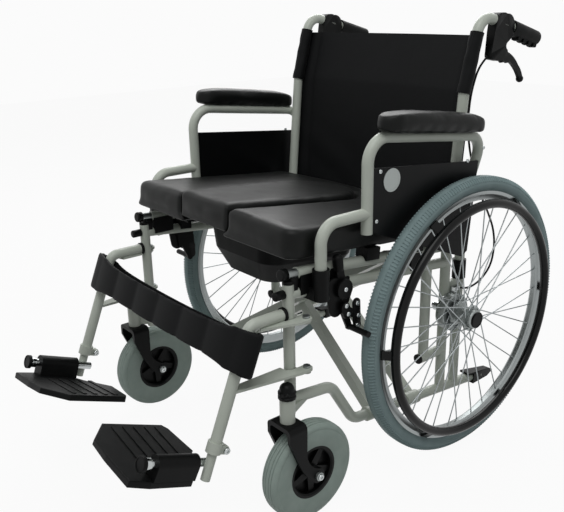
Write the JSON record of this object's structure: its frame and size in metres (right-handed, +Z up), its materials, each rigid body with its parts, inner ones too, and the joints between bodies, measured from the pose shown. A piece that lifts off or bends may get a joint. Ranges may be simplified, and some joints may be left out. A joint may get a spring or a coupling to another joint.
{
  "type": "commode wheelchair",
  "caption": "Folding wheelchair with large push wheels, casters, swing-away footrests, lift-off armrests and a padded commode seat with a plug and a slide-out pan.",
  "frame": {"origin": "on the floor, in the middle of the chair's length and width", "axes": "+Z up, +Y to the rear of the chair, +X to the sitter's left"},
  "size_m": [0.721, 1.0906, 0.925],
  "materials": {
    "frame_paint": "light grey powder coat, satin",
    "bright_steel": "polished plating",
    "rim_alloy": "satin alloy",
    "grey_tyre": "grey rubber",
    "caster_rubber": "grey solid rubber",
    "black_plastic": "matt black",
    "black_gloss": "glossy black coating",
    "black_vinyl": "black vinyl, soft sheen",
    "black_cloth": "black woven nylon",
    "board_wood": "dark sealed board",
    "pan_plastic": "black moulded plastic",
    "grip_rubber": "black soft grip"
  },
  "bodies": {
    "frame": {"side_frame_left": "frame_paint", "side_frame_right": "frame_paint", "cross_brace_a": "frame_paint", "cross_brace_b": "frame_paint", "bright_pins": "bright_steel", "seat_rail_saddles": "black_plastic", "end_caps": "black_plastic", "arm_sockets": "black_plastic", "push_grips": "grip_rubber", "brake_housings": "black_plastic", "brake_cables": "black_gloss", "back_upholstery": "black_cloth", "lock_brackets": "black_plastic", "rear_axles": "bright_steel", "calf_strap": "black_cloth"},
    "seat": {"seat_board": "board_wood", "seat_cushion": "black_vinyl", "pan_rails": "black_plastic"},
    "plug": {"seat_plug": "black_vinyl"},
    "pan": {"commode_pan": "pan_plastic"},
    "rear_wheel_left": {"rear_tyre_left": "grey_tyre", "rear_rim_left": "rim_alloy", "rear_hub_left": "bright_steel", "rear_spokes_left": "bright_steel", "handrim_left": "black_gloss"},
    "caster_swivel_left": {"caster_fork_left": "black_plastic", "caster_axle_left": "bright_steel"},
    "caster_wheel_left": {"caster_tyre_left": "caster_rubber", "caster_hub_left": "black_plastic"},
    "swing_hanger_left": {"hanger_left": "frame_paint"},
    "leg_left": {"leg_tube_left": "frame_paint", "foot_hinge_left": "bright_steel", "foot_knob_left": "black_plastic"},
    "foot_plate_left": {"footplate_left": "black_plastic"},
    "armrest_left": {"armrest_frame_left": "frame_paint", "arm_pad_left": "black_vinyl", "skirt_guard_left": "black_plastic"},
    "lock_hand_left": {"lock_lever_left": "black_plastic"},
    "lock_bar_left": {"lock_shoe_left": "black_plastic"},
    "brake_hand_left": {"brake_lever_left": "black_plastic"},
    "rear_wheel_right": {"rear_tyre_right": "grey_tyre", "rear_rim_right": "rim_alloy", "rear_hub_right": "bright_steel", "rear_spokes_right": "bright_steel", "handrim_right": "black_gloss"},
    "caster_swivel_right": {"caster_fork_right": "black_plastic", "caster_axle_right": "bright_steel"},
    "caster_wheel_right": {"caster_tyre_right": "caster_rubber", "caster_hub_right": "black_plastic"},
    "swing_hanger_right": {"hanger_right": "frame_paint"},
    "leg_right": {"leg_tube_right": "frame_paint", "foot_hinge_right": "bright_steel", "foot_knob_right": "black_plastic"},
    "foot_plate_right": {"footplate_right": "black_plastic"},
    "armrest_right": {"armrest_frame_right": "frame_paint", "arm_pad_right": "black_vinyl", "skirt_guard_right": "black_plastic"},
    "lock_hand_right": {"lock_lever_right": "black_plastic"},
    "lock_bar_right": {"lock_shoe_right": "black_plastic"},
    "brake_hand_right": {"brake_lever_right": "black_plastic"}
  },
  "joints": [
    {"name": "rear_wheel_spin_left", "type": "hinge", "parent": "frame", "child": "rear_wheel_left", "pos_m": [0.32, 0.24025, 0.305], "axis": [1, 0, 0], "continuous": true},
    {"name": "caster_turn_left", "type": "hinge", "parent": "frame", "child": "caster_swivel_left", "pos_m": [0.291, -0.23375, 0.24], "axis": [0, 0, 1], "continuous": true},
    {"name": "caster_spin_left", "type": "hinge", "parent": "caster_swivel_left", "child": "caster_wheel_left", "pos_m": [0.291, -0.18775, 0.1], "axis": [1, 0, 0], "continuous": true},
    {"name": "hanger_swing_left", "type": "hinge", "parent": "frame", "child": "swing_hanger_left", "pos_m": [0.284, -0.17975, 0.36], "axis": [0, 0, 1], "range_deg": [0, 90], "deforming": ["calf_strap"]},
    {"name": "leg_slide_left", "type": "slide", "parent": "swing_hanger_left", "child": "leg_left", "axis": [0, -0.3827, -0.9239], "range_m": [0, 0.08]},
    {"name": "footplate_flip_left", "type": "hinge", "parent": "leg_left", "child": "foot_plate_left", "pos_m": [0.249, -0.38948, 0.18164], "axis": [0, 0.9239, -0.3827], "range_deg": [0, 83], "deforming": ["calf_strap"]},
    {"name": "armrest_lift_left", "type": "slide", "parent": "frame", "child": "armrest_left", "axis": [0, 0, 1], "range_m": [0, 0.1]},
    {"name": "lock_lever_turn_left", "type": "hinge", "parent": "frame", "child": "lock_hand_left", "pos_m": [0.285, -0.09175, 0.446], "axis": [-1, 0, 0], "range_deg": [0, 45]},
    {"name": "lock_shoe_turn_left", "type": "hinge", "parent": "frame", "child": "lock_bar_left", "pos_m": [0.285, -0.08975, 0.408], "axis": [1, 0, 0], "range_deg": [0, 7.5]},
    {"name": "brake_squeeze_left", "type": "hinge", "parent": "frame", "child": "brake_hand_left", "pos_m": [0.261, 0.39029, 0.83838], "axis": [1, 0, 0], "range_deg": [0, 25], "stiffness_Nm_per_rad": 0.6},
    {"name": "rear_wheel_spin_right", "type": "hinge", "parent": "frame", "child": "rear_wheel_right", "pos_m": [-0.32, 0.24025, 0.305], "axis": [1, 0, 0], "continuous": true},
    {"name": "caster_turn_right", "type": "hinge", "parent": "frame", "child": "caster_swivel_right", "pos_m": [-0.291, -0.23375, 0.24], "axis": [0, 0, 1], "continuous": true},
    {"name": "caster_spin_right", "type": "hinge", "parent": "caster_swivel_right", "child": "caster_wheel_right", "pos_m": [-0.291, -0.18775, 0.1], "axis": [1, 0, 0], "continuous": true},
    {"name": "hanger_swing_right", "type": "hinge", "parent": "frame", "child": "swing_hanger_right", "pos_m": [-0.284, -0.17975, 0.36], "axis": [0, 0, -1], "range_deg": [0, 90], "deforming": ["calf_strap"]},
    {"name": "leg_slide_right", "type": "slide", "parent": "swing_hanger_right", "child": "leg_right", "axis": [0, -0.3827, -0.9239], "range_m": [0, 0.08]},
    {"name": "footplate_flip_right", "type": "hinge", "parent": "leg_right", "child": "foot_plate_right", "pos_m": [-0.249, -0.38948, 0.18164], "axis": [0, -0.9239, 0.3827], "range_deg": [0, 83], "deforming": ["calf_strap"]},
    {"name": "armrest_lift_right", "type": "slide", "parent": "frame", "child": "armrest_right", "axis": [0, 0, 1], "range_m": [0, 0.1]},
    {"name": "lock_lever_turn_right", "type": "hinge", "parent": "frame", "child": "lock_hand_right", "pos_m": [-0.285, -0.09175, 0.446], "axis": [-1, 0, 0], "range_deg": [0, 45]},
    {"name": "lock_shoe_turn_right", "type": "hinge", "parent": "frame", "child": "lock_bar_right", "pos_m": [-0.285, -0.08975, 0.408], "axis": [1, 0, 0], "range_deg": [0, 7.5]},
    {"name": "brake_squeeze_right", "type": "hinge", "parent": "frame", "child": "brake_hand_right", "pos_m": [-0.261, 0.39029, 0.83838], "axis": [1, 0, 0], "range_deg": [0, 25], "stiffness_Nm_per_rad": 0.6},
    {"name": "seat_lift", "type": "slide", "parent": "frame", "child": "seat", "axis": [0, 0.0991, 0.9951], "range_m": [0, 0.04]},
    {"name": "plug_lift", "type": "slide", "parent": "seat", "child": "plug", "axis": [0, 0.0991, 0.9951], "range_m": [0, 0.1]},
    {"name": "pan_slide", "type": "slide", "parent": "seat", "child": "pan", "axis": [0, 0.9951, -0.0991], "range_m": [0, 0.38]}
  ],
  "couplings": [
    {"joint": "lock_shoe_turn_left", "follows": "lock_lever_turn_left", "ratio": 0.16667},
    {"joint": "lock_shoe_turn_right", "follows": "lock_lever_turn_right", "ratio": 0.16667}
  ]
}
